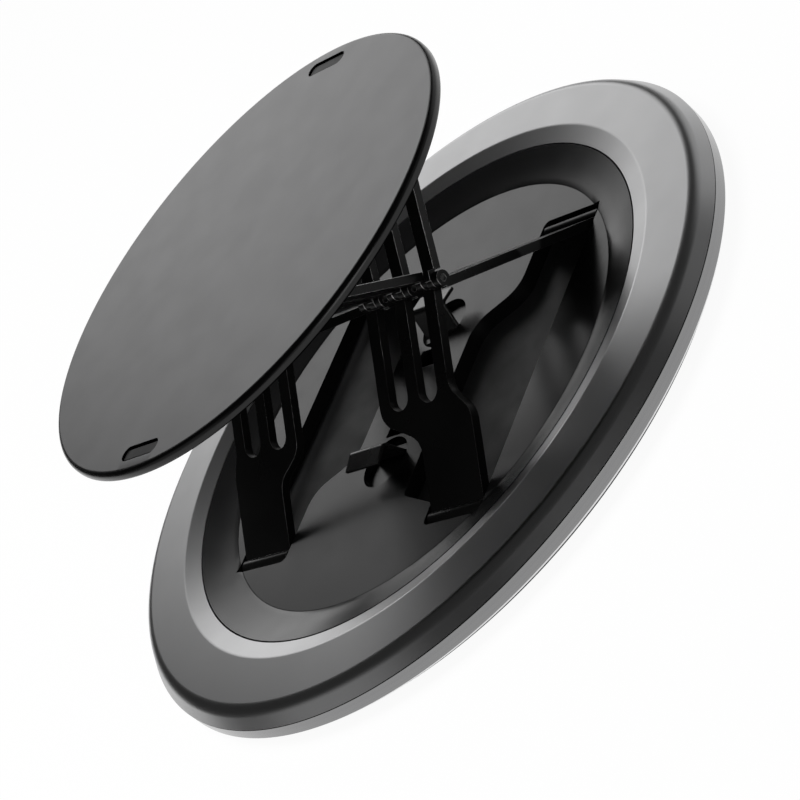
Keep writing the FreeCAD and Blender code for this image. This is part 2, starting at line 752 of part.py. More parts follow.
make_grip_pad()
make_bottom_plate()
make_base_band()
make_base_shell()
make_dish()
make_dish_wall()
make_magnet_ring()
make_shunt_ring()
for end, turn in (("front", 1), ("rear", -1)):
    make_floor_pin(end + "_floor_pin", turn)
    make_pop_spring("pop_spring_" + end, turn)
    for kind in (OUTER, INNER):
        hand = "left" if turn * kind["side"] > 0 else "right"
        make_arm(f"{end}_arm_{hand}", kind, turn)
        make_link(f"{end}_link_{hand}", kind, turn)
    make_elbow_pins(end + "_elbow_pins", turn)
    make_top_pins(end + "_top_pins", turn)
make_hinge_carrier()
make_top_disc()
doc.recompute()

NODES = ["grip_pad", "bottom_plate", "base_band", "base_shell", "dish", "dish_wall", "magnet_ring",
         "shunt_ring", "hinge_carrier", "top_disc"]
for end in ("front", "rear"):
    NODES += [end + "_floor_pin", "pop_spring_" + end, end + "_elbow_pins", end + "_top_pins"]
    NODES += [f"{end}_{piece}_{hand}" for piece in ("arm", "link") for hand in ("left", "right")]

for item in doc.Objects:
    if "Invalid" in item.State or "Error" in item.State:
        raise RuntimeError(f"{item.Name} failed: {item.State}")
parts = {item.Label: item for item in doc.Objects if item.Label in NODES}
for name in NODES:
    shape = parts[name].Shape
    if shape.isNull() or not shape.isValid():
        raise RuntimeError(name + " has no sound shape")

os.makedirs("parts", exist_ok=True)
for name in NODES:
    parts[name].Shape.exportStep(f"parts/{name}.step")
    print(name, len(parts[name].Shape.Solids), round(parts[name].Shape.Volume, 3))
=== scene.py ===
# %% [markdown]
# A round phone grip is a flat magnetic puck with a thin disc that stands on folding arms.
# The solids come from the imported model, which is loaded first and stays where it is.
# The lesson then makes fine turned skins for the round parts, softens the edges of the sheet metal,
# gives every part a finish made of nodes, and lights the scene for one portrait.

# %% Load the frame
import math
import bmesh
import bpy
from mathutils import Matrix, Vector


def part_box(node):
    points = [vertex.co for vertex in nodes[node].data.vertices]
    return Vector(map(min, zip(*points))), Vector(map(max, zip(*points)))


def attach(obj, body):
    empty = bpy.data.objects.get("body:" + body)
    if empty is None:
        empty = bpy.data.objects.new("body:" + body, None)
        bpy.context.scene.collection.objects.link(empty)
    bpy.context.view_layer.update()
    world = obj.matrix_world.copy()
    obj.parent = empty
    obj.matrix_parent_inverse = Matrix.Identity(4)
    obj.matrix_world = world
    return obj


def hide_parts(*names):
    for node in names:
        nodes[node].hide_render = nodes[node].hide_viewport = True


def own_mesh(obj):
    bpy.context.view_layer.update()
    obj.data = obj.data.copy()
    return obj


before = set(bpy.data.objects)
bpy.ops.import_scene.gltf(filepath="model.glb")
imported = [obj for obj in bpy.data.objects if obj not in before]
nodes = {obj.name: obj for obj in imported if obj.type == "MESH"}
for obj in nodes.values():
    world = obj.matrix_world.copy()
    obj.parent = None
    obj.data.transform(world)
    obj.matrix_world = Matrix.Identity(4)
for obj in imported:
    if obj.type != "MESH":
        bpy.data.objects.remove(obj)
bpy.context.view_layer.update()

MM = 0.001

# %% [markdown]
# The portrait looks down on the open grip from the front left, with the camera rolled far over to one side.
# A tracking constraint would keep the camera level, so it is placed by its three axes instead: where it
# looks, and the right and up vectors turned about that line. The matrix of those axes is set in one step.

# %% Place the camera
CAMERA_AT = Vector((-94.48, -142.74, 84.55)) * MM
CAMERA_AIM = Vector((-1.03, 0.68, 2.80)) * MM
CAMERA_ROLL = -0.8945
LENS, SENSOR = 114.31, 36.0
NEAREST, FARTHEST = 0.005, 20.0
camera_data = bpy.data.cameras.new("portrait_camera")
camera_data.lens = LENS
camera_data.sensor_width = SENSOR
camera_data.clip_start = NEAREST
camera_data.clip_end = FARTHEST
camera = bpy.data.objects.new("portrait_camera", camera_data)
bpy.context.scene.collection.objects.link(camera)
look = (CAMERA_AIM - CAMERA_AT).normalized()
level_right = look.cross(Vector((0, 0, 1))).normalized()
level_up = level_right.cross(look)
right = level_right * math.cos(CAMERA_ROLL) + level_up * math.sin(CAMERA_ROLL)
up = level_up * math.cos(CAMERA_ROLL) - level_right * math.sin(CAMERA_ROLL)
camera.matrix_world = Matrix((
    (right.x, up.x, -look.x, CAMERA_AT.x),
    (right.y, up.y, -look.y, CAMERA_AT.y),
    (right.z, up.z, -look.z, CAMERA_AT.z),
    (0, 0, 0, 1)))
bpy.context.scene.camera = camera
print("camera is", round((CAMERA_AIM - CAMERA_AT).length / MM), "mm from the grip")

# %% [markdown]
# Every finish is a Principled shader with a little life in it: a noise that shifts the colour, one that
# shifts the roughness, and a fine bump for the texture of the surface. A painted image could do that too, but
# noise stays sharp at any distance and needs no unwrapping. One helper makes the set, and each finish states
# its own colour, roughness and grain size. Plain numbers go on the shader's own sockets. The first finish
# made with it is the bright plating of the steel rings inside the base.

# %% A helper for finishes
COLOUR_PATCHES, ROUGH_PATCHES = 180.0, 420.0
NOISE_LOW, NOISE_HIGH = 0.3, 0.7
PATCH_DETAIL, RELIEF_DETAIL = 3.0, 2.0
GRAIN_DEPTH = 0.00002
PLAIN_SPECULAR = 0.5


def grey(level, blue=0.0):
    """Grey colour, with a little more blue if asked."""
    return level, level, level + blue


def new_finish(name, metallic, specular=PLAIN_SPECULAR):
    """Empty procedural material with its shader, ready for textures."""
    finish = bpy.data.materials.new(name)
    finish.use_nodes = True
    shader = finish.node_tree.nodes["Principled BSDF"]
    shader.inputs["Metallic"].default_value = metallic
    shader.inputs["Specular IOR Level"].default_value = specular
    return finish, finish.node_tree, shader


def noise_on(tree, vector, scale, detail):
    """Value of a noise at each place."""
    noise = tree.nodes.new("ShaderNodeTexNoise")
    noise.inputs["Scale"].default_value = scale
    noise.inputs["Detail"].default_value = detail
    tree.links.new(vector, noise.inputs["Vector"])
    return noise.outputs["Fac"]


def noise_between(tree, vector, scale, low, high):
    """Noise brought to the range from low to high; the range may be two numbers or two colours."""
    ramp = tree.nodes.new("ShaderNodeValToRGB")
    for element, position, value in zip(ramp.color_ramp.elements, (NOISE_LOW, NOISE_HIGH), (low, high)):
        element.position = position
        colour = value if isinstance(value, tuple) else grey(value)
        element.color = (*colour, 1.0)
    tree.links.new(noise_on(tree, vector, scale, PATCH_DETAIL), ramp.inputs["Fac"])
    return ramp.outputs["Color"]


def bumped(tree, shader, vector, scale, strength, depth):
    """Fine relief from a noise, in metres of depth."""
    bump = tree.nodes.new("ShaderNodeBump")
    bump.inputs["Strength"].default_value = strength
    bump.inputs["Distance"].default_value = depth
    tree.links.new(noise_on(tree, vector, scale, RELIEF_DETAIL), bump.inputs["Height"])
    tree.links.new(bump.outputs["Normal"], shader.inputs["Normal"])


def place_on(tree):
    """Place of each point in the object, in metres."""
    return tree.nodes.new("ShaderNodeTexCoord").outputs["Object"]


def grainy(name, dark, light, rough, metallic, grain, strength, specular=PLAIN_SPECULAR):
    """Finish with a soft shift of colour, a patchy roughness and a fine grain."""
    finish, tree, shader = new_finish(name, metallic, specular)
    place = place_on(tree)
    tree.links.new(noise_between(tree, place, COLOUR_PATCHES, dark, light), shader.inputs["Base Color"])
    tree.links.new(noise_between(tree, place, ROUGH_PATCHES, *rough), shader.inputs["Roughness"])
    bumped(tree, shader, place, grain, strength, GRAIN_DEPTH)
    return finish


steel_finish = grainy("plated_steel", dark=grey(0.5), light=grey(0.62), rough=(0.25, 0.4),
                      metallic=1.0, grain=6000.0, strength=0.08)
print(steel_finish.name, "is made of", len(steel_finish.node_tree.nodes), "nodes")

# %% [markdown]
# The disc and the top ring are anodised metal with a satin, blasted face, dark on the disc and grey on the
# ring. The reflection of the room slides over them as a smooth gradient, so they are metallic with a middling
# roughness and a very fine grain. The disc's edge and slots wear a darker, smoother copy of its finish, a
# painted shade that keeps the pale floor from showing brightly in them. The lower band is turned on a lathe:
# its grain runs around it in thin lines, and it is smooth enough to mirror the pale floor.

# %% Metal finishes
BLASTED_GRAIN = 9000.0
LATHE_COLOUR, LATHE_ROUGH, LATHE_RELIEF = 9000.0, 5000.0, 12000.0
LATHE_STRENGTH, LATHE_DEPTH = 0.05, 0.00001
disc_finish = grainy("anodised_disc", dark=grey(0.092, 0.001), light=grey(0.098, 0.001), rough=(0.33, 0.35),
                     metallic=1.0, grain=BLASTED_GRAIN, strength=0.02)
# Painted shade: a darker, smoother copy of the disc's finish for its edge and slot walls.
disc_edge_shade_finish = grainy("anodised_edge_painted_shade", dark=grey(0.026), light=grey(0.032), rough=(0.24, 0.28),
                          metallic=1.0, grain=BLASTED_GRAIN, strength=0.03)
ring_finish = grainy("anodised_ring", dark=grey(0.353, 0.003), light=grey(0.367, 0.003), rough=(0.29, 0.31),
                     metallic=1.0, grain=BLASTED_GRAIN, strength=0.04)


def turned_metal(name, dark, light, rough):
    """Metal with fine lathe lines: the noise only sees the height and the distance from the axis."""
    finish, tree, shader = new_finish(name, metallic=1.0)
    split = tree.nodes.new("ShaderNodeSeparateXYZ")
    tree.links.new(place_on(tree), split.inputs[0])
    flat = tree.nodes.new("ShaderNodeCombineXYZ")
    tree.links.new(split.outputs["X"], flat.inputs["X"])
    tree.links.new(split.outputs["Y"], flat.inputs["Y"])
    length = tree.nodes.new("ShaderNodeVectorMath")
    length.operation = "LENGTH"
    tree.links.new(flat.outputs[0], length.inputs[0])
    lines = tree.nodes.new("ShaderNodeCombineXYZ")
    tree.links.new(length.outputs["Value"], lines.inputs["X"])
    tree.links.new(split.outputs["Z"], lines.inputs["Z"])
    place = lines.outputs[0]
    tree.links.new(noise_between(tree, place, LATHE_COLOUR, dark, light), shader.inputs["Base Color"])
    tree.links.new(noise_between(tree, place, LATHE_ROUGH, *rough), shader.inputs["Roughness"])
    bumped(tree, shader, place, LATHE_RELIEF, LATHE_STRENGTH, LATHE_DEPTH)
    return finish


band_finish = turned_metal("turned_band", dark=grey(0.22, 0.002), light=grey(0.26, 0.002), rough=(0.17, 0.21))
bare_finish = turned_metal("bare_bevel", dark=grey(0.62, 0.005), light=grey(0.72, 0.005), rough=(0.2, 0.28))
print("metal finishes:", disc_finish.name, disc_edge_shade_finish.name, ring_finish.name, band_finish.name,
      bare_finish.name)

# %% [markdown]
# The sheet arms and links wear a black lacquer. It is nearly black, and what the eye sees is the light line
# along each rounded edge, so the edges get a lighter metal finish of their own, a painted highlight.
# The dish is moulded in black with a satin surface, and the pad below is soft matt rubber. All of them use
# the helper above, because only their numbers differ.

# %% Black finishes
LACQUER_GRAIN, LACQUER_STRENGTH = 1400.0, 0.03
arm_finish = grainy("black_lacquer", dark=grey(0.003), light=grey(0.005), rough=(0.26, 0.32),
                    metallic=0.0, grain=LACQUER_GRAIN, strength=LACQUER_STRENGTH, specular=0.12)
# Painted highlight: the bevels on the arms and links get this pale metal finish to draw their light lines.
highlight_edge_finish = grainy("lacquer_painted_highlight_edge", dark=grey(0.55), light=grey(0.65), rough=(0.25, 0.32),
                     metallic=1.0, grain=LACQUER_GRAIN, strength=LACQUER_STRENGTH)
carrier_finish = grainy("matt_black_lip", dark=grey(0.003), light=grey(0.005), rough=(0.35, 0.42),
                        metallic=0.0, grain=LACQUER_GRAIN, strength=LACQUER_STRENGTH, specular=0.1)
dish_finish = grainy("moulded_black", dark=grey(0.004, 0.0002), light=grey(0.006, 0.0002), rough=(0.23, 0.27),
                     metallic=0.0, grain=7000.0, strength=0.03, specular=0.32)
pin_finish = grainy("blackened_steel", dark=grey(0.03), light=grey(0.05), rough=(0.3, 0.42),
                    metallic=1.0, grain=5000.0, strength=0.06)
spring_finish = grainy("black_spring_steel", dark=grey(0.02), light=grey(0.035), rough=(0.22, 0.32),
                       metallic=0.6, grain=4000.0, strength=0.06)
plate_finish = grainy("matt_black_plate", dark=grey(0.03, 0.001), light=grey(0.045, 0.001), rough=(0.5, 0.62),
                      metallic=0.0, grain=6000.0, strength=0.15)
pad_finish = grainy("soft_rubber_pad", dark=grey(0.02, 0.001), light=grey(0.034, 0.001), rough=(0.75, 0.9),
                    metallic=0.0, grain=3500.0, strength=0.3)
print("finishes so far:", len(bpy.data.materials))


# %% [markdown]
# No real edge is perfectly sharp, and edges are what catches the light, so every outline in this lesson is
# drawn as a short list of corners, each with its own radius. A helper puts an arc in each corner. A bevel
# modifier could round them later, but an outline with arcs keeps each radius where it belongs.

# %% A helper for rounded outlines
def softened(corners, steps=5):
    """Outline in which each (x, y, radius) corner is replaced by an arc."""
    points = []
    for index, (x, y, radius) in enumerate(corners):
        here = Vector((x, y))
        if radius == 0:
            points.append(here)
            continue
        before = (Vector(corners[index - 1][:2]) - here).normalized()
        after = (Vector(corners[(index + 1) % len(corners)][:2]) - here).normalized()
        half = before.angle(after) / 2
        centre = here + (before + after).normalized() * (radius / math.sin(half))
        start = here + before * (radius / math.tan(half)) - centre
        end = here + after * (radius / math.tan(half)) - centre
        first = math.atan2(start.y, start.x)
        sweep = (math.atan2(end.y, end.x) - first + math.pi) % (2 * math.pi) - math.pi
        for step in range(steps + 1):
            angle = first + sweep * step / steps
            points.append(centre + Vector((math.cos(angle), math.sin(angle))) * radius)
    return points


square = [(0, 0, 0), (1, 0, 0.2), (1, 1, 0), (0, 1, 0)]
print("a square with one soft corner has", len(softened(square)), "points")

# %% [markdown]
# The disc, the ring, the band, the plate and the pad are all bodies of revolution. On a lathe each would be
# cut from a half section, and the spin operator does the same: a line of points in the XZ plane is swept
# about Z. Each piece then rides on its body, stands for its solid and wears its finish.

# %% Helpers for turned pieces
TURN_STEPS = 240
SAME_POINT, NO_AREA = 1e-7, 1e-14


def as_piece(name, mesh_source):
    """New object in the scene from a bmesh."""
    mesh = bpy.data.meshes.new(name)
    mesh_source.to_mesh(mesh)
    mesh_source.free()
    piece = bpy.data.objects.new(name, mesh)
    bpy.context.scene.collection.objects.link(piece)
    return piece


def turned(name, section, steps=TURN_STEPS):
    """Piece swept about Z from a closed half section of (radius, height) points in millimetres."""
    spun = bmesh.new()
    line = [spun.verts.new((point.x * MM, 0, point.y * MM)) for point in section]
    edges = [spun.edges.new((line[i], line[(i + 1) % len(line)])) for i in range(len(line))]
    bmesh.ops.spin(spun, geom=line + edges, cent=(0, 0, 0), axis=(0, 0, 1), angle=2 * math.pi,
                   steps=steps, use_merge=True)
    bmesh.ops.remove_doubles(spun, verts=spun.verts, dist=SAME_POINT)
    empty = [face for face in spun.faces if face.calc_area() < NO_AREA]
    bmesh.ops.delete(spun, geom=empty, context="FACES_ONLY")
    bmesh.ops.recalc_face_normals(spun, faces=spun.faces)
    return as_piece(name, spun)


def smooth_by_angle(piece, degrees=30.0):
    """Smooth shading, kept sharp where faces meet at more than the angle, with broad faces kept flat."""
    mesh = piece.data
    mesh.polygons.foreach_set("use_smooth", [True] * len(mesh.polygons))
    mesh.set_sharp_from_angle(angle=math.radians(degrees))
    even = piece.modifiers.new("even_normals", "WEIGHTED_NORMAL")
    even.keep_sharp = True
    even.weight = 100


def dress(piece, body, node, finish):
    """Let a piece ride on a body, stand for its solid and wear its finish."""
    piece.data.materials.clear()
    piece.data.materials.append(finish)
    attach(piece, body)
    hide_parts(node)
    print(piece.name, "stands for", node, "with", len(piece.data.polygons), "faces")


def second_finish(piece, finish, faces):
    """Let some faces of a dressed piece wear a finish of their own."""
    piece.data.materials.append(finish)
    for face in faces:
        face.material_index = 1
    print(len(faces), "faces of", piece.name, "wear", finish.name)


print("turned pieces have a face every", 360 / TURN_STEPS, "degrees")

# %% [markdown]
# The top ring is the face of the base: a broad flat ring that bends softly down to the dish on the inside
# and turns over a rounded crease into a sloping rim on the outside. The crease and the slope each mirror
# another part of the room, so the rim shows as a band of its own. A narrow groove at the foot of the rim
# makes the dark parting line. All of that lies in one half section, so one spin makes it.

# %% The top ring
PLATE_TOP, PARTING, RING_TOP = 1.0, 2.31, 3.62
BASE_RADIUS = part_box("base_shell")[1].x / MM
BORE_RADIUS, BORE_WALL, RING_UNDER, HOOP_WIDTH = 22.5, 0.5, 2.95, 1.3
CHAMFER_RADIUS, CHAMFER_DROP, CHAMFER_BEND, CHAMFER_EDGE = 24.0, 0.4, 0.9, 0.04
RIM_SLOPE, RIM_BEND, RIM_FOOT = math.radians(55.0), 1.2, 0.05
GROOVE_DEPTH, GROOVE_ABOVE, GROOVE_BELOW = 0.2, 0.03, 0.02
FLAT_MIDDLE = 25.5
crease_radius = BASE_RADIUS - (RING_TOP - PARTING - RIM_FOOT) / math.tan(RIM_SLOPE)
groove_floor = BASE_RADIUS - GROOVE_DEPTH
hoop_inside = BASE_RADIUS - HOOP_WIDTH
chamfer = softened([
    (BORE_RADIUS, PLATE_TOP, 0), (BORE_RADIUS, RING_TOP - CHAMFER_DROP, CHAMFER_EDGE),
    (CHAMFER_RADIUS, RING_TOP, CHAMFER_BEND), (FLAT_MIDDLE, RING_TOP, 0)], steps=6)
rim = softened([
    (FLAT_MIDDLE, RING_TOP, 0), (crease_radius, RING_TOP, RIM_BEND),
    (BASE_RADIUS, PARTING + RIM_FOOT, 0)], steps=14)
underside = softened([
    (BASE_RADIUS - GROOVE_ABOVE, PARTING + GROOVE_ABOVE, 0), (groove_floor, PARTING + GROOVE_ABOVE, 0),
    (groove_floor, PARTING, 0), (hoop_inside, PARTING, 0), (hoop_inside, RING_UNDER, 0),
    (BORE_RADIUS + BORE_WALL, RING_UNDER, 0), (BORE_RADIUS + BORE_WALL, PLATE_TOP, 0)])
top_ring = turned("top_ring", chamfer[:-1] + rim[1:] + underside)
smooth_by_angle(top_ring, degrees=12.0)
dress(top_ring, "base", "base_shell", ring_finish)

# %% [markdown]
# The band below the parting line is a plain turned hoop. A bevel at its foot is cut through the finish to
# bare metal. It faces the pale floor and shines. It could be a thin hoop of its own, but on the real band it
# is only a cut, so its faces wear a second material instead.

# %% The band
BEVEL_WIDTH, BEVEL_FACING = 0.28, -0.3
FOOT_ROUND, SHOULDER_ROUND, LIP_ROUND = 0.05, 0.06, 0.03
bevel_top, band_top = PLATE_TOP + BEVEL_WIDTH, PARTING - GROOVE_BELOW
lower_band = turned("lower_band", softened([
    (hoop_inside, PLATE_TOP, 0), (BASE_RADIUS - BEVEL_WIDTH, PLATE_TOP, FOOT_ROUND),
    (BASE_RADIUS, bevel_top, SHOULDER_ROUND), (BASE_RADIUS, band_top, LIP_ROUND),
    (groove_floor, band_top, 0), (groove_floor, PARTING, 0), (hoop_inside, PARTING, 0)]))
smooth_by_angle(lower_band)
dress(lower_band, "base", "base_band", band_finish)
second_finish(lower_band, bare_finish, [
    face for face in lower_band.data.polygons
    if face.normal.z < BEVEL_FACING and face.center.z < bevel_top * MM])

# %% [markdown]
# Under the band lie a thin plate and a soft pad that meets the phone. Both are flat discs with rounded edges.
# A fine groove near the pad's edge is where such pads are pressed on. A bump could draw it, but it is part of
# the section, so that it also shows in the outline.

# %% Plate and pad
PAD_TOP, PLATE_RADIUS, PLATE_ROUND = 0.5, 28.3, 0.1
PAD_RADIUS, PAD_TAPER, PAD_SHOULDER = 27.6, 0.2, 0.25
PAD_FOOT_ROUND, PAD_SHOULDER_ROUND = 0.12, 0.1
PRESS_RADIUS, PRESS_MOUTH, PRESS_FLOOR, PRESS_DEPTH = 26.4, 0.2, 0.15, 0.12
MOUTH_ROUND, FLOOR_ROUND = 0.05, 0.03
under_plate = turned("under_plate", softened([
    (0, PAD_TOP, 0), (PLATE_RADIUS, PAD_TOP, PLATE_ROUND), (PLATE_RADIUS, PLATE_TOP, 0), (0, PLATE_TOP, 0)]))
smooth_by_angle(under_plate)
dress(under_plate, "base", "bottom_plate", plate_finish)
soft_pad = turned("soft_pad", softened([
    (0, 0, 0), (PRESS_RADIUS - PRESS_MOUTH, 0, MOUTH_ROUND),
    (PRESS_RADIUS - PRESS_FLOOR, PRESS_DEPTH, FLOOR_ROUND),
    (PRESS_RADIUS + PRESS_FLOOR, PRESS_DEPTH, FLOOR_ROUND),
    (PRESS_RADIUS + PRESS_MOUTH, 0, MOUTH_ROUND), (PAD_RADIUS - PAD_TAPER, 0, PAD_FOOT_ROUND),
    (PAD_RADIUS, PAD_SHOULDER, PAD_SHOULDER_ROUND), (PAD_RADIUS, PAD_TOP, 0), (0, PAD_TOP, 0)]))
smooth_by_angle(soft_pad)
dress(soft_pad, "base", "grip_pad", pad_finish)

# %% [markdown]
# The disc has two obround slots, in which the carrier's lips sit. They could be drawn into the mesh by hand,
# but the disc is spun and its faces run to the middle, so the slots are cut with a boolean. Each cutter is
# an upright prism over the slot's outline.

# %% Helpers for slots and edges
SLOT_X, SLOT_LENGTH, SLOT_WIDTH = 17.9, 4.2, 1.25
ROUND_SHARE = 0.48


def obround(x, length, width):
    """Outline of a slot along Y with round ends."""
    half_x, half_y, radius = width / 2, length / 2, width * ROUND_SHARE
    return softened([(x - half_x, -half_y, radius), (x + half_x, -half_y, radius),
                     (x + half_x, half_y, radius), (x - half_x, half_y, radius)], steps=10)


def prism(name, outline, low, high):
    """Upright solid over an outline, in millimetres."""
    made = bmesh.new()
    foot = made.faces.new([made.verts.new((point.x * MM, point.y * MM, low * MM)) for point in outline])
    grown = bmesh.ops.extrude_face_region(made, geom=[foot])["geom"]
    tops = [item for item in grown if isinstance(item, bmesh.types.BMVert)]
    bmesh.ops.translate(made, verts=tops, vec=(0, 0, (high - low) * MM))
    bmesh.ops.recalc_face_normals(made, faces=made.faces)
    return as_piece(name, made)


def cut_with(piece, cutter):
    """Take the cutter's volume out of the piece for good."""
    cut = piece.modifiers.new("cut", "BOOLEAN")
    cut.operation = "DIFFERENCE"
    cut.solver = "EXACT"
    cut.object = cutter
    made = bpy.data.meshes.new_from_object(piece.evaluated_get(bpy.context.evaluated_depsgraph_get()))
    piece.modifiers.clear()
    piece.data = made
    bpy.data.objects.remove(cutter)


def bevel_steep(piece, width, segments, degrees=50.0):
    """Rounded edges where faces meet at a steep angle."""
    bevel = piece.modifiers.new("edge_round", "BEVEL")
    bevel.width = width * MM
    bevel.segments = segments
    bevel.limit_method = "ANGLE"
    bevel.angle_limit = math.radians(degrees)
    return bevel


slots = [obround(side * SLOT_X, SLOT_LENGTH, SLOT_WIDTH) for side in (1, -1)]
print("slot outlines:", len(slots), "with", len(slots[0]), "points each")

# %% [markdown]
# The disc itself is a thin turned plate, rounded top and bottom. A bevel modifier that only touches steep
# edges softens the slots after the cut, and the disc's edge and the slots' walls wear the darker finish,
# which is painted shade.

# %% The raised disc
disc_low, disc_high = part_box("top_disc")
DISC_RADIUS = disc_high.x / MM
UNDER_ROUND, OVER_ROUND, DISC_STEPS = 0.26, 0.42, 288
SLOT_ROUND, CUT_PAST, EDGE_FACING = 0.07, 1.0, 0.9
under, over = disc_low.z / MM, disc_high.z / MM
raised_disc = turned("raised_disc", softened([
    (0, under, 0), (DISC_RADIUS, under, UNDER_ROUND),
    (DISC_RADIUS, over, OVER_ROUND), (0, over, 0)], steps=8), steps=DISC_STEPS)
for outline in slots:
    cut_with(raised_disc, prism("slot_cutter", outline, under - CUT_PAST, over + CUT_PAST))
bevel_steep(raised_disc, SLOT_ROUND, segments=2)
smooth_by_angle(raised_disc)
dress(raised_disc, "top", "top_disc", disc_finish)
# The edge and the slot walls wear the darker copy of the finish, as painted shade.
second_finish(raised_disc, disc_edge_shade_finish, [
    face for face in raised_disc.data.polygons if abs(face.normal.z) < EDGE_FACING])

# %% [markdown]
# The pop-up springs are bent strips of spring steel that push the disc open: a short foot in the recess, a
# steep rise and a broad tongue. A curve with a profile could make one too. Here four points stand around each
# point of a centre line with rounded bends, and quads join them into a strip, because then its thickness and
# its width are two plain numbers. On the grip the springs flatten towards the floor of their recess as the
# disc comes down; here each is built in its open shape only.

# %% Pop-up springs
RECESS_FLOOR = 1.77
LEAF_THICK, LEAF_WIDTH, LEAF_ROUND = 0.28, 3.8, 0.06
FOOT_X, RISE_X, FOOT_LIFT, RISE_BEND = 4.95, 5.75, 0.15, 0.4
CREST_X, CREST_Z, CREST_BEND = 6.55, 4.12, 0.35
TIP_X, TIP_Z = 8.2, 3.85


def bent_strip(name, corners, thickness, width):
    """Strip of sheet along a bent path in the XZ plane, centred on Y."""
    path = softened(corners, steps=6)
    made = bmesh.new()
    loops = []
    for index, point in enumerate(path):
        along = (path[min(index + 1, len(path) - 1)] - path[max(index - 1, 0)]).normalized()
        across = Vector((-along.y, along.x)) * thickness / 2
        loops.append([made.verts.new(Vector((spot.x, y, spot.y)) * MM) for spot, y in (
            (point + across, -width / 2), (point + across, width / 2),
            (point - across, width / 2), (point - across, -width / 2))])
    for here, after in zip(loops, loops[1:]):
        for corner in range(4):
            following = (corner + 1) % 4
            made.faces.new((here[corner], here[following], after[following], after[corner]))
    made.faces.new(loops[0])
    made.faces.new(loops[-1][::-1])
    bmesh.ops.recalc_face_normals(made, faces=made.faces)
    return as_piece(name, made)


for end, turn in (("front", -1), ("rear", 1)):
    spring = bent_strip(f"pop_leaf_{end}", [
        (turn * FOOT_X, RECESS_FLOOR + FOOT_LIFT, 0), (turn * RISE_X, RECESS_FLOOR + FOOT_LIFT, RISE_BEND),
        (turn * CREST_X, CREST_Z, CREST_BEND), (turn * TIP_X, TIP_Z, 0)], LEAF_THICK, LEAF_WIDTH)
    bevel_steep(spring, LEAF_ROUND, segments=2)
    smooth_by_angle(spring)
    dress(spring, "base", f"pop_spring_{end}", spring_finish)
    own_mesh(spring)

# %% [markdown]
# Arms, links, carrier and pins are stamped sheet and wire, and their solids already have the right shape
# with knuckles, slots and bores. What they lack is the soft edge that stamping and lacquer leave. Modifiers
# add it without moving a point of the solids: weld the split points, dissolve flat facets, bevel the edges,
# and even out the normals. The dish and the rings inside the base get the same care.

# %% Soften the sheet metal
WELD_WITHIN, FLAT_WITHIN, STEEP = 0.000002, math.radians(0.5), 35.0
EDGE_STEPS = 5
SHEET_ROUNDS = {"arm": 0.24, "link": 0.2}
PIN_ROUNDS = {"floor_pin": 0.05, "elbow_pins": 0.04, "top_pins": 0.04}
CARRIER_ROUND, DISH_ROUND, WALL_ROUND, RING_ROUND = 0.12, 0.02, 0.01, 0.05


def soften_solid(node, finish, width, segments, edge=None):
    """Rounded edges and a finish on a solid that stays in place; the edges may wear a painted highlight."""
    piece = nodes[node]
    piece.data.materials.clear()
    piece.data.materials.append(finish)
    piece.data.polygons.foreach_set("use_smooth", [True] * len(piece.data.polygons))
    if "custom_normal" in piece.data.attributes:
        piece.data.attributes.remove(piece.data.attributes["custom_normal"])
    weld = piece.modifiers.new("weld", "WELD")
    weld.merge_threshold = WELD_WITHIN
    flat = piece.modifiers.new("flat_faces", "DECIMATE")
    flat.decimate_type = "DISSOLVE"
    flat.angle_limit = FLAT_WITHIN
    bevel = bevel_steep(piece, width, segments, STEEP)
    # The bevels wear the second finish, which paints a highlight on them.
    if edge is not None:
        piece.data.materials.append(edge)
        bevel.material = 1
    piece.modifiers.new("even_normals", "WEIGHTED_NORMAL")
    print(node, "softened by", width, "mm")


for end in ("front", "rear"):
    for hand in ("left", "right"):
        for kind, width in SHEET_ROUNDS.items():
            soften_solid(f"{end}_{kind}_{hand}", arm_finish, width, EDGE_STEPS, highlight_edge_finish)
    for kind, width in PIN_ROUNDS.items():
        soften_solid(f"{end}_{kind}", pin_finish, width, segments=2)
soften_solid("hinge_carrier", carrier_finish, CARRIER_ROUND, segments=3)
soften_solid("dish", dish_finish, DISH_ROUND, segments=3)
soften_solid("dish_wall", dish_finish, WALL_ROUND, segments=3)
for ring in ("magnet_ring", "shunt_ring"):
    soften_solid(ring, steel_finish, RING_ROUND, segments=1)

# %% [markdown]
# The portrait has a white ground. More light on a grey floor would wash out the grip as well, so the floor
# is a large pale plane that the camera and the reflections see as white. A little of a plain matt surface is
# mixed in, so that the grip still leaves a soft shadow on it.

# %% The floor
FLOOR_RADIUS, FLOOR_DROP = 4.0, 0.02
WHITE_SHARE, MATT_LEVEL = 0.94, 0.95
floor_mesh = bmesh.new()
bmesh.ops.create_circle(floor_mesh, cap_ends=True, radius=FLOOR_RADIUS, segments=64)
floor = as_piece("floor", floor_mesh)
floor.location.z = -FLOOR_DROP * MM
floor_paint = bpy.data.materials.new("pale_floor")
floor_paint.use_nodes = True
floor_tree = floor_paint.node_tree
floor_tree.nodes.clear()
glow = floor_tree.nodes.new("ShaderNodeEmission")
glow.inputs["Strength"].default_value = 1.0
matt = floor_tree.nodes.new("ShaderNodeBsdfDiffuse")
matt.inputs["Color"].default_value = (*grey(MATT_LEVEL), 1.0)
rays = floor_tree.nodes.new("ShaderNodeLightPath")
seen = rays.outputs["Is Camera Ray"]
for kind in ("Is Glossy Ray", "Is Transmission Ray"):
    either = floor_tree.nodes.new("ShaderNodeMath")
    either.operation = "MAXIMUM"
    floor_tree.links.new(seen, either.inputs[0])
    floor_tree.links.new(rays.outputs[kind], either.inputs[1])
    seen = either.outputs[0]
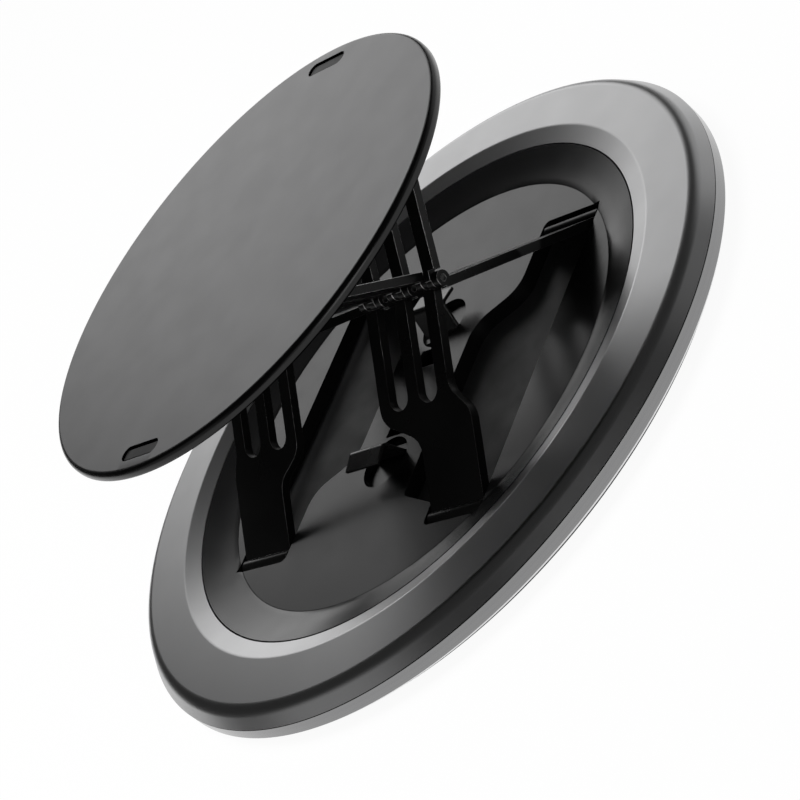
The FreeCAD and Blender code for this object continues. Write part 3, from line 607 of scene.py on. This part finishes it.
share = floor_tree.nodes.new("ShaderNodeMath")
share.operation = "MULTIPLY"
share.inputs[1].default_value = WHITE_SHARE
floor_tree.links.new(seen, share.inputs[0])
blend = floor_tree.nodes.new("ShaderNodeMixShader")
floor_tree.links.new(share.outputs[0], blend.inputs["Fac"])
floor_tree.links.new(matt.outputs[0], blend.inputs[1])
floor_tree.links.new(glow.outputs[0], blend.inputs[2])
floor_out = floor_tree.nodes.new("ShaderNodeOutputMaterial")
floor_tree.links.new(blend.outputs[0], floor_out.inputs["Surface"])
floor.data.materials.append(floor_paint)
print("floor laid,", 2 * FLOOR_RADIUS, "m across")

# %% [markdown]
# Satin metal is a mirror of the room, so the room is where its gradient comes from. Lamps would show in it
# as separate spots, so the world is a dim grey with soft bright walls all round. The disc and the ring show
# the edge of the wall behind the grip, the sloping rim shows the paler one on the right, and the low one
# beside the camera draws the light lines on the arms. The other walls light the grip when it is seen from
# other sides. Each wall has an azimuth and a height, the angles at which it is full and gone, all in degrees,
# and a level.

# %% The room
DIM = 0.044
WALLS = {
    "behind": (50.0, 17.2, 7.5, 18.3, 1.74), "right": (0.0, 6.0, 14.0, 30.0, 0.65),
    "low": (-110.0, 1.0, 14.0, 22.0, 3.2), "left": (152.0, 12.0, 14.0, 34.0, 0.4),
    "front": (-45.0, 14.0, 10.0, 26.0, 0.25), "camera": (228.0, 10.0, 12.0, 26.0, 0.4)}
MIX_FACTOR, MIX_FIRST, MIX_SECOND, MIX_COLOUR = 0, 6, 7, 2
world = bpy.data.worlds.new("studio")
bpy.context.scene.world = world
world.use_nodes = True
sky = world.node_tree
sky.nodes.clear()
way = sky.nodes.new("ShaderNodeTexCoord")


def wall_light(azimuth, height, full, gone, level):
    """Light of one soft round wall over the dim room."""
    azimuth, height = math.radians(azimuth), math.radians(height)
    towards = sky.nodes.new("ShaderNodeVectorMath")
    towards.operation = "DOT_PRODUCT"
    towards.inputs[1].default_value = (
        math.cos(azimuth) * math.cos(height), math.sin(azimuth) * math.cos(height), math.sin(height))
    sky.links.new(way.outputs["Generated"], towards.inputs[0])
    fade = sky.nodes.new("ShaderNodeValToRGB")
    fade.color_ramp.interpolation = "EASE"
    for element, angle, light in zip(fade.color_ramp.elements, (gone, full), (DIM, level)):
        element.position = math.cos(math.radians(angle))
        element.color = (*grey(light), 1.0)
    sky.links.new(towards.outputs["Value"], fade.inputs["Fac"])
    return fade.outputs["Color"]


lights = [wall_light(*wall) for wall in WALLS.values()]
brightest = lights[0]
for light in lights[1:]:
    lighter = sky.nodes.new("ShaderNodeMix")
    lighter.data_type = "RGBA"
    lighter.blend_type = "LIGHTEN"
    lighter.inputs[MIX_FACTOR].default_value = 1.0
    sky.links.new(brightest, lighter.inputs[MIX_FIRST])
    sky.links.new(light, lighter.inputs[MIX_SECOND])
    brightest = lighter.outputs[MIX_COLOUR]
air = sky.nodes.new("ShaderNodeBackground")
sky.links.new(brightest, air.inputs["Color"])
sky_out = sky.nodes.new("ShaderNodeOutputWorld")
sky.links.new(air.outputs[0], sky_out.inputs["Surface"])
print("walls of the room:", ", ".join(WALLS))

# %% [markdown]
# A large soft lamp overhead lights the matt parts and casts the shadow. A sun would draw a hard edge, so it
# is a square soft box. It is kept out of the reflections, because the walls alone shape the gradient on the
# metal.

# %% The lamp
LAMP_AT, LAMP_AIM = Vector((-60, 60, 420)) * MM, Vector((0, 0, 5)) * MM
LAMP_SIZE, LAMP_WATTS = 300, 1.8
lamp_data = bpy.data.lights.new("overhead_box", "AREA")
lamp_data.shape = "SQUARE"
lamp_data.size = LAMP_SIZE * MM
lamp_data.energy = LAMP_WATTS
lamp = bpy.data.objects.new("overhead_box", lamp_data)
bpy.context.scene.collection.objects.link(lamp)
lamp.location = LAMP_AT
lamp.rotation_euler = (LAMP_AIM - LAMP_AT).to_track_quat("-Z", "Y").to_euler()
lamp.visible_glossy = False
bpy.context.scene.view_settings.view_transform = "Standard"
print(lamp.name, LAMP_WATTS, "W")
